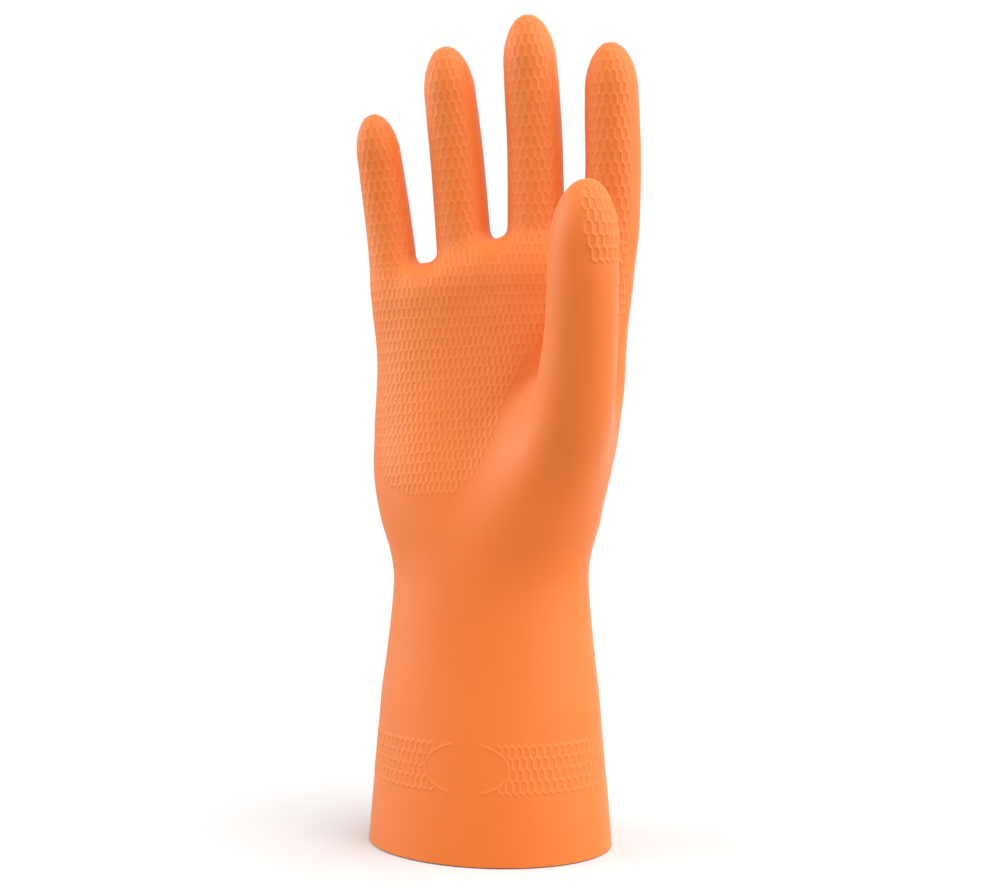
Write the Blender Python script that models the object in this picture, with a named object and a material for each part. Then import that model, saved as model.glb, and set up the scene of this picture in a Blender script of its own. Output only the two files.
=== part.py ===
"""Right-hand household rubber glove, standing on its cuff, fingers up.

The hollow rubber film is built as stiff shells (cuff, palm, three lengths per
finger, two lengths of thumb) joined by soft bands of the same film where the
glove bends.  Metres, +Z along the fingers, the palm faces -Y, thumb on +X.
"""
import math
import bpy
import bmesh
from mathutils import Vector

for old in list(bpy.data.objects):
    bpy.data.objects.remove(old, do_unlink=True)

MM = 0.001
WALL = 0.6            # rubber film with its flock, mm
GAP = 0.3             # gap between two lengths, mm
SHIFT = (-4.038, 9.618)     # moves the box's bottom centre onto the origin, mm
SIDES = 16            # sides round a digit
SIDES_BODY = 28       # sides round the cuff and the palm
WRIST_Z = 96.0
WRIST_H = 10.2        # half length of the wrist band

# height, centre x, centre y, half width, half depth, power of the section
CUFF = [
    (0.0, 0.0, 0.0, 45.4, 35.4, 2.0),
    (14.0, 0.0, 0.0, 44.3, 34.2, 2.0),
    (34.0, 0.0, 0.0, 42.5, 32.4, 2.0),
    (54.0, 0.0, 0.0, 40.9, 30.4, 2.0),
    (70.0, 0.2, 0.0, 38.9, 28.8, 2.0),
    (82.0, 0.3, 0.0, 37.6, 27.8, 2.0),
    (90.0, 0.4, 0.0, 36.9, 27.3, 2.0),
    (98.0, 0.4, 0.0, 36.6, 26.8, 2.0),
    (107.0, 0.2, -0.2, 38.0, 26.0, 2.0),
    (116.0, 0.0, -0.3, 40.7, 25.0, 2.05),
    (125.0, 0.1, -0.3, 42.9, 23.6, 2.1),
    (136.0, 0.8, -0.2, 44.9, 21.8, 2.15),
    (150.0, 2.2, 0.0, 46.1, 19.6, 2.2),
    (165.0, 3.4, 0.0, 46.7, 18.0, 2.25),
    (180.0, 4.1, 0.0, 46.8, 16.8, 2.3),
    (195.0, 4.0, 0.0, 46.9, 15.6, 2.35),
    (205.0, 3.9, -0.2, 46.9, 13.8, 2.4),
    (212.0, 3.9, -0.4, 45.4, 11.0, 2.4),
    (217.0, 3.9, -0.5, 42.2, 7.4, 2.4),
    (219.6, 3.9, -0.6, 38.4, 3.6, 2.3),
]
PALM_TOP = 220.4
SHEAR = 0.30          # the knuckle line drops towards the little finger

# centre line points (x, y, z), half width and half depth at each, top height,
# hinge heights, half length of each band, hinge offset towards the palm
DIGITS = {
    "little": dict(
        pts=[(-32.0, 0.6, 172.0, 7.0, 6.8), (-36.2, 0.6, 196.0, 8.6, 8.5), (-37.6, 0.2, 212.0, 8.9, 8.7),
             (-38.6, -0.7, 225.0, 8.7, 8.5), (-40.0, -3.8, 242.0, 8.5, 8.2), (-41.0, -7.6, 256.0, 8.1, 7.8),
             (-41.7, -10.9, 268.3, 7.5, 7.2)],
        hinges=(220.0, 236.5, 252.5), half=(4.3, 5.7, 3.9)),
    "ring": dict(
        pts=[(-8.2, 0.4, 178.0, 9.4, 9.0), (-8.9, 0.4, 198.0, 10.3, 10.0), (-9.4, 0.0, 213.0, 10.3, 10.1),
             (-10.1, -0.7, 226.0, 10.2, 9.9), (-11.2, -4.0, 250.0, 9.9, 9.5), (-12.2, -7.2, 267.0, 9.5, 9.1),
             (-13.5, -11.9, 291.0, 9.0, 8.7)],
        hinges=(227.5, 249.0, 270.5), half=(4.9, 6.7, 4.3)),
    "middle": dict(
        pts=[(16.8, 0.4, 180.0, 9.6, 9.2), (17.2, 0.4, 200.0, 10.6, 10.2), (17.4, 0.0, 216.0, 10.6, 10.3),
             (17.8, -0.7, 229.0, 10.5, 10.1), (18.2, -4.0, 254.0, 10.2, 9.7), (17.8, -7.6, 274.0, 9.8, 9.3),
             (17.2, -12.2, 300.2, 9.3, 8.9)],
        hinges=(230.0, 253.5, 277.5), half=(4.9, 6.9, 4.4)),
    "index": dict(
        pts=[(38.0, 0.4, 174.0, 7.4, 7.2), (42.6, 0.4, 198.0, 9.6, 9.4), (44.2, 0.0, 212.0, 10.1, 9.9),
             (45.7, -0.7, 224.0, 10.2, 9.8), (47.3, -4.0, 246.0, 9.9, 9.5), (47.6, -7.0, 264.0, 9.4, 9.1),
             (47.5, -11.6, 288.2, 9.0, 8.7)],
        hinges=(227.5, 248.5, 269.5), half=(4.9, 6.7, 4.3)),
}
FLEX_OFFSET = 0.2     # share of the half depth the hinge sits towards the palm

THUMB = dict(
    pts=[(23.0, -9.5, 124.0, 11.0, 10.0), (30.0, -17.2, 140.0, 14.4, 13.4), (37.2, -25.8, 160.0, 14.6, 13.6),
         (41.0, -34.0, 181.0, 12.6, 12.4), (42.7, -39.2, 196.0, 11.9, 11.9), (43.7, -42.6, 211.0, 11.5, 11.3),
         (45.4, -45.2, 234.1, 11.1, 10.7)],
    hinges=(184.0, 209.0), half=(5.7, 4.9))


def cr(table, u):
    """Smooth curve through the rows of a table; u runs 0..len-1."""
    n = len(table)
    i = min(max(int(math.floor(u)), 0), n - 2)
    t = u - i
    p0 = table[max(i - 1, 0)]
    p1 = table[i]
    p2 = table[i + 1]
    p3 = table[min(i + 2, n - 1)]
    out = []
    for a, b, c, d in zip(p0, p1, p2, p3):
        m1 = (c - a) * (0.5 if i > 0 else 1.0)
        m2 = (d - b) * (0.5 if i + 2 < n else 1.0)
        h = t * t * t
        q = t * t
        out.append((2 * h - 3 * q + 1) * b + (h - 2 * q + t) * m1 + (3 * q - 2 * h) * c + (h - q) * m2)
    return out


class Tube:
    """A digit: a swept ellipse with a rounded end."""

    def __init__(self, spec):
        self.spec = spec
        pts = spec["pts"]
        self.steps = 120
        self.rows = [cr(pts, (len(pts) - 1) * i / self.steps) for i in range(self.steps + 1)]
        self.arc = [0.0]
        for a, b in zip(self.rows, self.rows[1:]):
            self.arc.append(self.arc[-1] + math.dist(a[:3], b[:3]))
        self.length = self.arc[-1]
        self.dome = pts[-1][3] * 1.4

    def at(self, s):
        s = min(max(s, 0.0), self.length)
        lo, hi = 0, self.steps
        while hi - lo > 1:
            mid = (lo + hi) // 2
            if self.arc[mid] <= s:
                lo = mid
            else:
                hi = mid
        a, b = self.rows[lo], self.rows[lo + 1]
        t = (s - self.arc[lo]) / (self.arc[lo + 1] - self.arc[lo])
        return [x + (y - x) * t for x, y in zip(a, b)]

    def frame(self, s):
        row = self.at(s)
        a = self.at(max(s - 2.0, 0.0))
        b = self.at(min(s + 2.0, self.length))
        t = Vector([b[k] - a[k] for k in range(3)]).normalized()
        lat = (Vector((1, 0, 0)) - t * t.x).normalized()
        pal = lat.cross(t)                      # X x Z = -Y, towards the palm
        return Vector(row[:3]), t, lat, pal, row[3], row[4]

    def s_at_height(self, z):
        lo, hi = 0.0, self.length
        for _ in range(50):
            mid = 0.5 * (lo + hi)
            if self.at(mid)[2] < z:
                lo = mid
            else:
                hi = mid
        return 0.5 * (lo + hi)

    def point(self, s, phi, off):
        c, t, lat, pal, rw, rd = self.frame(s)
        start = self.length - self.dome
        f = 1.0
        if s > start:
            u = (s - start) / (self.dome - off)
            f = math.sqrt(max(0.0, 1.0 - u * u))
        return c + lat * ((rw - off) * f * math.cos(phi)) + pal * ((rd - off) * f * math.sin(phi))

    def hinge(self, k, offset):
        s = self.s_at_height(self.spec["hinges"][k])
        c, t, lat, pal, rw, rd = self.frame(s)
        return s, c + pal * (rd * offset), t, lat, pal

    def on_plane(self, s0, phi, off, point, normal):
        lo, hi = s0 - 8.0, s0 + 8.0
        for _ in range(40):
            mid = 0.5 * (lo + hi)
            if (self.point(mid, phi, off) - point).dot(normal) < 0.0:
                lo = mid
            else:
                hi = mid
        return 0.5 * (lo + hi)


MATS = {}


def material(name, colour, rough):
    mat = bpy.data.materials.new(name)
    mat.use_nodes = True
    node = mat.node_tree.nodes["Principled BSDF"]
    node.inputs["Base Color"].default_value = (*colour, 1.0)
    node.inputs["Roughness"].default_value = rough
    node.inputs["IOR"].default_value = 1.52
    return mat


def add(name, verts, faces, origin, colour, rough=0.48):
    mesh = bpy.data.meshes.new(name)
    o = Vector((origin[0] + SHIFT[0], origin[1] + SHIFT[1], origin[2]))
    sh = Vector((SHIFT[0], SHIFT[1], 0.0))
    mesh.from_pydata([(Vector(v) + sh - o) * MM for v in verts], [], faces)
    bm = bmesh.new()
    bm.from_mesh(mesh)
    bmesh.ops.remove_doubles(bm, verts=bm.verts, dist=1e-7)
    bmesh.ops.triangulate(bm, faces=bm.faces)
    bmesh.ops.recalc_face_normals(bm, faces=bm.faces)
    bm.to_mesh(mesh)
    bm.free()
    obj = bpy.data.objects.new(name, mesh)
    obj.location = o * MM
    mesh.materials.append(material("mat_" + name, colour, rough))
    bpy.context.scene.collection.objects.link(obj)
    return obj


def grid_faces(base, rows, n, flip=False):
    out = []
    for i in range(rows - 1):
        for k in range(n):
            a = base + i * n + k
            b = base + i * n + (k + 1) % n
            c, d = b + n, a + n
            out.append((a, d, c, b) if flip else (a, b, c, d))
    return out


def shell(tube, rings_at, n=SIDES, closed=False):
    """Hollow length of a digit. rings_at(phi, off) gives the s values."""
    verts, faces = [], []
    phis = [2 * math.pi * (k + 0.5) / n for k in range(n)]
    counts = []
    for off in (0.0, WALL):
        cols = [rings_at(phi, off) for phi in phis]
        rows = len(cols[0])
        counts.append(rows)
        for i in range(rows):
            for k, phi in enumerate(phis):
                verts.append(tube.point(cols[k][i], phi, off))
    r0, r1 = counts
    inner = r0 * n
    faces += grid_faces(0, r0, n)
    faces += grid_faces(inner, r1, n, True)
    for k in range(n):
        q = (k + 1) % n
        faces.append((k, inner + k, inner + q, q))
    if closed:
        for off, base, rows in ((0.0, 0, r0), (WALL, inner, r1)):
            c, t, *_ = tube.frame(tube.length - off)
            pole = len(verts)
            verts.append(c)
            for k in range(n):
                q = (k + 1) % n
                last = base + (rows - 1) * n
                faces.append((last + k, last + q, pole))
    else:
        for k in range(n):
            q = (k + 1) % n
            a, b = (r0 - 1) * n, inner + (r1 - 1) * n
            faces.append((a + k, a + q, b + q, b + k))
    return verts, faces


def between(tube, lo, hi, rows):
    """lo and hi are (s, point, normal) planes; even rings between them."""
    def rings(phi, off):
        a = tube.on_plane(lo[0], phi, off, lo[1], lo[2])
        b = tube.on_plane(hi[0], phi, off, hi[1], hi[2])
        return [a + (b - a) * i / (rows - 1) for i in range(rows)]
    return rings


def to_tip(tube, lo, rows, caps=5):
    def rings(phi, off):
        a = tube.on_plane(lo[0], phi, off, lo[1], lo[2])
        start = tube.length - tube.dome
        out = [a + (start - a) * i / rows for i in range(rows)]
        for j in range(caps):
            ang = 0.5 * math.pi * j / caps
            out.append(start + (tube.dome - off) * math.sin(ang))
        return out
    return rings


def plane(h, dist):
    s, p, t, lat, pal = h
    return (s + dist, p + t * dist, t)


def body_point(z, ang, off):
    n = len(CUFF)
    i = 0
    while i < n - 2 and CUFF[i + 1][0] < z:
        i += 1
    u = i + (z - CUFF[i][0]) / (CUFF[i + 1][0] - CUFF[i][0])
    _, cx, cy, a, b, p = cr(CUFF, min(max(u, 0.0), n - 1.0))
    c, s = math.cos(ang), math.sin(ang)
    k = 2.0 / p
    x = (a - off) * math.copysign(abs(c) ** k, c)
    y = (b - off) * math.copysign(abs(s) ** k, s)
    return Vector((cx + x, cy + y, z))


def sheared(v):
    w = min(max((v.z - 165.0) / 45.0, 0.0), 1.0)
    w = w * w * (3 - 2 * w)
    drop = SHEAR * max(0.0, 4.0 - v.x)
    rise = -0.03 * max(0.0, v.x - 22.0)
    return Vector((v.x, v.y, v.z + w * (rise - drop)))


def body_ring(z, off, n=SIDES_BODY, shear=False):
    out = []
    for k in range(n):
        v = body_point(z, 2 * math.pi * (k + 0.5) / n, off)
        out.append(sheared(v) if shear else v)
    return out


def ring_shell(zs, n=SIDES_BODY):
    verts = []
    for off in (0.0, WALL):
        for z in zs:
            verts += body_ring(z, off, n)
    rows = len(zs)
    faces = grid_faces(0, rows, n) + grid_faces(rows * n, rows, n, True)
    inner = rows * n
    for k in range(n):
        q = (k + 1) % n
        faces.append((k, inner + k, inner + q, q))
        a, b = (rows - 1) * n, inner + (rows - 1) * n
        faces.append((a + k, a + q, b + q, b + k))
    return verts, faces


RUBBER = (0.90, 0.28, 0.085)
SOFT = (0.86, 0.25, 0.075)

# ------------------------------------------------------------- cuff and wrist
CUFF_TOP = WRIST_Z - WRIST_H
PALM_BOTTOM = WRIST_Z + WRIST_H
v, f = ring_shell([0.0, 14.0, 34.0, 54.0, 70.0, CUFF_TOP])
add("cuff", v, f, (0.0, 0.0, 0.0), RUBBER)
v, f = ring_shell([CUFF_TOP + GAP, WRIST_Z, PALM_BOTTOM - GAP])
add("wrist_band", v, f, (0.0, 0.0, WRIST_Z), SOFT)

# --------------------------------------------------------------------- palm
PALM_ZS = [116.0, 125.0, 136.0, 150.0, 165.0, 180.0, 195.0, 205.0, 212.0, 217.0, 219.6]


def closed_loft(name, rings, bottom, top):
    n = len(rings[0])
    verts = [p for r in rings for p in r]
    faces = grid_faces(0, len(rings), n)
    verts += [bottom, top]
    b, t = len(verts) - 2, len(verts) - 1
    last = (len(rings) - 1) * n
    for k in range(n):
        q = (k + 1) % n
        faces.append((q, k, b))
        faces.append((last + k, last + q, t))
    return add(name, verts, faces, (0.0, 0.0, WRIST_Z), RUBBER)


def palm_solid(name, off, z0):
    rings = [body_ring(z0, off, shear=True)]
    for z in PALM_ZS:
        rings.append(body_ring(z - (off if z > 200 else 0.0), off, shear=True))
    rings[0] = body_ring(z0, off)
    top = sheared(Vector((4.5, -0.6, PALM_TOP - off)))
    return closed_loft(name, rings, Vector((0.2, 0.0, z0)), top)


def stub(name, tube, h, off, n, s_from, s_to, rows):
    rings = []
    for i in range(rows):
        s = s_from + (s_to - s_from) * i / (rows - 1)
        rings.append([tube.point(s, 2 * math.pi * (k + 0.5) / n, off) for k in range(n)])
    return closed_loft(name, rings, tube.frame(s_from)[0], tube.frame(s_to)[0])


tubes = {name: Tube(spec) for name, spec in DIGITS.items()}
thumb = Tube(THUMB)
root_h = {name: t.hinge(0, FLEX_OFFSET) for name, t in tubes.items()}
thumb_h = thumb.hinge(0, 0.0)


def boolean(target, other, op):
    mod = target.modifiers.new(op + "_" + other.name, "BOOLEAN")
    mod.operation = op
    mod.solver = "EXACT"
    mod.object = other
    bpy.context.view_layer.update()
    depsgraph = bpy.context.evaluated_depsgraph_get()
    mesh = bpy.data.meshes.new_from_object(target.evaluated_get(depsgraph))
    target.modifiers.clear()
    old = target.data
    target.data = mesh
    bpy.data.meshes.remove(old)
    data = other.data
    bpy.data.objects.remove(other, do_unlink=True)
    bpy.data.meshes.remove(data)


def united(tag, off, z0, more):
    whole = palm_solid("solid_" + tag, off, z0)
    for name, tube in tubes.items():
        s = root_h[name][0]
        boolean(whole, stub("s_%s_%s" % (tag, name), tube, None, off, SIDES, 0.0, s + 4.0 + more, 5), "UNION")
    s = thumb_h[0]
    boolean(whole, stub("s_%s_thumb" % tag, thumb, None, off, SIDES, 0.0, s + 5.0 + more, 8), "UNION")
    return whole


def block(name, h, dist, half_l, half_p, height):
    """Cutter over the plane that ends a root stub."""
    s, p, t, lat, pal = h
    base = p + t * dist
    verts = []
    for zz in (0.0, height):
        for a, b in ((-1, -1), (1, -1), (1, 1), (-1, 1)):
            verts.append(base + lat * (a * half_l) + pal * (b * half_p) + t * zz)
    faces = [(0, 1, 2, 3), (4, 7, 6, 5), (0, 4, 5, 1), (1, 5, 6, 2), (2, 6, 7, 3), (3, 7, 4, 0)]
    return add(name, verts, faces, (0.0, 0.0, 0.0), RUBBER)


palm = united("out", 0.0, PALM_BOTTOM, 0.0)
core = united("in", WALL, PALM_BOTTOM - 3.0, 3.0)
boolean(palm, core, "DIFFERENCE")
for name in DIGITS:
    h = root_h[name]
    boolean(palm, block("cut_" + name, h, -DIGITS[name]["half"][0], 12.6, 14.0, 30.0), "DIFFERENCE")
boolean(palm, block("cut_thumb", thumb_h, -THUMB["half"][0], 18.0, 16.0, 40.0), "DIFFERENCE")
palm.name = "palm"
palm.data.name = "palm"
palm.data.materials.clear()
palm.data.materials.append(material("mat_palm", RUBBER, 0.48))
bm = bmesh.new()
bm.from_mesh(palm.data)
bmesh.ops.remove_doubles(bm, verts=bm.verts, dist=2e-6)
bmesh.ops.dissolve_degenerate(bm, edges=bm.edges, dist=2e-6)
bmesh.ops.triangulate(bm, faces=bm.faces)
bmesh.ops.recalc_face_normals(bm, faces=bm.faces)
bm.to_mesh(palm.data)
bm.free()

# ------------------------------------------------------------------- digits
HINGES = {"thumb_root": thumb_h}
for name, tube in tubes.items():
    half = DIGITS[name]["half"]
    hs = [tube.hinge(k, FLEX_OFFSET) for k in range(3)]
    parts = ("root", "middle", "tip")
    for k in range(3):
        v, f = shell(tube, between(tube, plane(hs[k], GAP - half[k]), plane(hs[k], half[k] - GAP), 3))
        add("%s_%s_band" % (name, parts[k]), v, f, hs[k][1], SOFT)
        HINGES["%s_%s" % (name, parts[k])] = hs[k]
    v, f = shell(tube, between(tube, plane(hs[0], half[0]), plane(hs[1], -half[1]), 2))
    add(name + "_near", v, f, hs[0][1], RUBBER)
    v, f = shell(tube, between(tube, plane(hs[1], half[1]), plane(hs[2], -half[2]), 2))
    add(name + "_mid", v, f, hs[1][1], RUBBER)
    v, f = shell(tube, to_tip(tube, plane(hs[2], half[2]), 1), closed=True)
    add(name + "_far", v, f, hs[2][1], RUBBER)

half = THUMB["half"]
ht = thumb.hinge(1, 0.0)
HINGES["thumb_tip"] = ht
v, f = shell(thumb, between(thumb, plane(thumb_h, GAP - half[0]), plane(thumb_h, half[0] - GAP), 3))
add("thumb_root_band", v, f, thumb_h[1], SOFT)
v, f = shell(thumb, between(thumb, plane(thumb_h, half[0]), plane(ht, -half[1]), 2))
add("thumb_near", v, f, thumb_h[1], RUBBER)
v, f = shell(thumb, between(thumb, plane(ht, GAP - half[1]), plane(ht, half[1] - GAP), 3))
add("thumb_tip_band", v, f, ht[1], SOFT)
v, f = shell(thumb, to_tip(thumb, plane(ht, half[1]), 2), closed=True)
add("thumb_far", v, f, ht[1], RUBBER)
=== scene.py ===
"""Looks for the household rubber glove: one continuous dipped film, raised
honeycomb grip on the palm side, raised band on the cuff.  All tables are in
millimetres about the cuff's own axis and are shifted into the row frame."""

import math

import bmesh
import bpy
import numpy as np
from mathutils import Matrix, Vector


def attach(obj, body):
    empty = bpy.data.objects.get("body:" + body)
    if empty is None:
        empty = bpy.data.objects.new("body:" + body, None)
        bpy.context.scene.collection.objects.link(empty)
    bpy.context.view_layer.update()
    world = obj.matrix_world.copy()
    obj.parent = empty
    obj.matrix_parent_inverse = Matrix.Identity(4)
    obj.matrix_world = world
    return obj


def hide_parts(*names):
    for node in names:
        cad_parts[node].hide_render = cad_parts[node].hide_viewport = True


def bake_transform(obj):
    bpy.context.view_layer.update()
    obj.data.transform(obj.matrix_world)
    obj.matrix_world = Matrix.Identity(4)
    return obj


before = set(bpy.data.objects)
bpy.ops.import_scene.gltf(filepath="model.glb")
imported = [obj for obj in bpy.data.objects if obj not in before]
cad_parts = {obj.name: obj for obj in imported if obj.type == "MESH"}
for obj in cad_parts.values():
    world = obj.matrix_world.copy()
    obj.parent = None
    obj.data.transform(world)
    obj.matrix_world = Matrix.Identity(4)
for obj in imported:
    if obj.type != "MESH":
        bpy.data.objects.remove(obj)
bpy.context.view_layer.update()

SX, SY = -4.038, 9.618          # cuff axis -> row frame, mm
WALL = 0.6                      # film thickness, mm
H = 1.8                         # step of the plain skin, mm
CUTS = 4                        # H / (CUTS + 1) is the step of the gripped skin

# ------------------------------------------------------------------ the form
# height, centre x, centre y, half width, half depth, power of the section
BODY = [
    (-12.0, 0.0, 0.0, 46.3, 36.3, 2.0),
    (0.0, 0.0, 0.0, 45.4, 35.4, 2.0),
    (14.0, 0.0, 0.0, 44.3, 34.2, 2.0),
    (34.0, 0.0, 0.0, 42.5, 32.4, 2.0),
    (54.0, 0.0, 0.0, 40.9, 30.4, 2.0),
    (70.0, 0.2, 0.0, 38.9, 28.8, 2.0),
    (82.0, 0.3, 0.0, 37.6, 27.8, 2.0),
    (90.0, 0.4, 0.0, 36.9, 27.3, 2.0),
    (98.0, 0.4, 0.0, 36.6, 26.8, 2.0),
    (107.0, 0.2, -0.2, 38.0, 26.0, 2.0),
    (116.0, 0.0, -0.3, 40.7, 25.0, 2.05),
    (125.0, -0.2, -0.3, 42.6, 23.6, 2.1),
    (136.0, 0.3, -0.2, 44.6, 21.8, 2.15),
    (150.0, 1.9, 0.0, 46.0, 19.6, 2.2),
    (165.0, 3.4, 0.0, 46.7, 18.0, 2.25),
    (180.0, 4.1, 0.0, 46.8, 16.8, 2.3),
    (195.0, 4.0, 0.0, 46.8, 15.8, 2.3),
    (206.0, 3.8, -0.1, 46.7, 14.6, 2.3),
    (214.0, 3.8, -0.2, 46.4, 13.6, 2.3),
    (236.0, 3.8, -0.4, 45.4, 12.4, 2.3),
]
# centre line up to the very tip (x, y, z, radius before the tip is rounded off)
LINES = {
    "little": [(-32.0, 0.6, 172.0, 7.0), (-36.2, 0.6, 196.0, 8.5), (-37.5, 0.2, 212.0, 8.9), (-38.6, -0.7, 225.0, 8.75),
               (-40.0, -3.8, 242.0, 8.5), (-41.0, -7.4, 256.0, 8.1), (-41.8, -11.2, 268.1, 7.6)],
    "ring": [(-8.2, 0.4, 178.0, 9.2), (-8.9, 0.4, 198.0, 10.1), (-9.4, 0.0, 213.0, 10.25), (-10.1, -0.7, 226.0, 10.15),
             (-11.2, -4.0, 250.0, 9.9), (-12.2, -7.2, 267.0, 9.65), (-13.6, -12.0, 290.8, 9.0)],
    "middle": [(16.8, 0.4, 180.0, 9.4), (17.2, 0.4, 200.0, 10.4), (17.4, 0.0, 216.0, 10.5), (17.8, -0.7, 229.0, 10.4),
               (18.2, -4.0, 254.0, 10.15), (17.9, -7.6, 274.0, 9.95), (17.1, -12.2, 300.0, 9.3)],
    "index": [(38.0, 0.4, 174.0, 7.2), (42.6, 0.4, 198.0, 9.4), (44.2, 0.0, 212.0, 10.0), (45.7, -0.7, 224.0, 10.1),
              (47.0, -4.0, 246.0, 10.0), (47.1, -7.0, 264.0, 9.75), (47.3, -11.4, 288.0, 9.0)],
    "thumb": [(5.0, -6.0, 98.0, 7.0), (11.0, -9.0, 108.0, 9.4), (17.8, -12.2, 119.0, 11.8), (24.8, -15.8, 131.0, 13.3),
              (31.6, -20.4, 145.0, 14.1), (37.0, -26.0, 160.0, 14.0), (41.0, -34.0, 181.0, 12.6),
              (42.7, -39.2, 196.0, 12.1), (43.7, -42.6, 211.0, 11.9), (45.4, -45.6, 233.7, 11.2)],
}
LONG = {"little": 1.95, "ring": 1.90, "middle": 1.88, "index": 1.82, "thumb": 2.0}   # tip length over its radius
HINGES = {"little": (220.0, 236.5, 252.5), "ring": (227.5, 249.0, 270.5), "middle": (230.0, 253.5, 277.5),
          "index": (227.5, 248.5, 269.5), "thumb": (184.0, 209.0)}
HALF = {"little": (4.3, 5.7, 3.9), "ring": (4.9, 6.7, 4.3), "middle": (4.9, 6.9, 4.4),
        "index": (4.9, 6.7, 4.3), "thumb": (5.7, 4.9)}
SPARE = 1.4                     # how far a fold runs past its soft band


def curve(table, n):
    """Smooth curve through the rows of a table, n samples."""
    t = np.array(table, float)
    m = len(t)
    out = []
    for u in np.linspace(0, m - 1, n):
        i = min(int(u), m - 2)
        f = u - i
        p0, p1, p2, p3 = t[max(i - 1, 0)], t[i], t[i + 1], t[min(i + 2, m - 1)]
        m1 = (p2 - p0) * (0.5 if i > 0 else 1.0)
        m2 = (p3 - p1) * (0.5 if i + 2 < m else 1.0)
        a, b = f * f * f, f * f
        out.append((2 * a - 3 * b + 1) * p1 + (a - 2 * b + f) * m1 + (3 * b - 2 * a) * p2 + (a - b) * m2)
    return np.array(out)


BODY_T = []
_b = np.array(BODY, float)
for _i in range(len(_b) - 1):
    for _f in np.linspace(0, 1, 12, endpoint=False):
        p0, p1, p2, p3 = _b[max(_i - 1, 0)], _b[_i], _b[_i + 1], _b[min(_i + 2, len(_b) - 1)]
        d1 = (p2 - p0) / max(p2[0] - p0[0], 1e-6) * (p2[0] - p1[0])
        d2 = (p3 - p1) / max(p3[0] - p1[0], 1e-6) * (p2[0] - p1[0])
        a, b = _f ** 3, _f ** 2
        BODY_T.append((2 * a - 3 * b + 1) * p1 + (a - 2 * b + _f) * d1 + (3 * b - 2 * a) * p2 + (a - b) * d2)
BODY_T = np.array(BODY_T)


def smin(a, b, k):
    h = np.maximum(k - np.abs(a - b), 0.0) / k
    return np.minimum(a, b) - h * h * k * 0.25


def smax(a, b, k):
    return -smin(-a, -b, k)


def soft(x, w):
    return w * np.log1p(np.exp(np.clip(x / w, -40, 40)))


def body(P):
    x, y, z = P[:, 0], P[:, 1], P[:, 2]
    cx, cy, a, b, p = (np.interp(z, BODY_T[:, 0], BODY_T[:, k]) for k in range(1, 6))
    X = np.abs((x - cx) / a) + 1e-9
    Y = np.abs((y - cy) / b) + 1e-9
    q = X ** p + Y ** p
    rho = q ** (1 / p)
    g = q ** (1 / p - 1) * np.sqrt((X ** (p - 1) / a) ** 2 + (Y ** (p - 1) / b) ** 2)
    d = (rho - 1) / np.maximum(g, 1 / a)
    top = np.interp(x, (-60.0, -28.0, -19.5, 0.0, 8.0, 28.0, 36.0, 60.0), (212.6, 213.2, 213.4, 221.3, 221.5, 221.5, 221.3, 220.9))
    d = smax(d, z - top, 11.0)
    front = np.clip(-(y - cy) / b, 0.0, 1.0)
    # heel of the hand on the little finger side, hollow of the palm, root of the thumb
    d = d - front * (1.6 * np.exp(-((x + 24) / 15) ** 2 - ((z - 142) / 24) ** 2)
                     - 1.5 * np.exp(-((x + 2) / 20) ** 2 - ((z - 180) / 24) ** 2)
                     + 2.2 * np.exp(-((x - 17) / 18) ** 2 - ((z - 128) / 18) ** 2)
                     + 0.8 * np.exp(-((z - 207 + 0.2 * (4 - np.minimum(x, 4))) / 7) ** 2))
    return d


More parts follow.
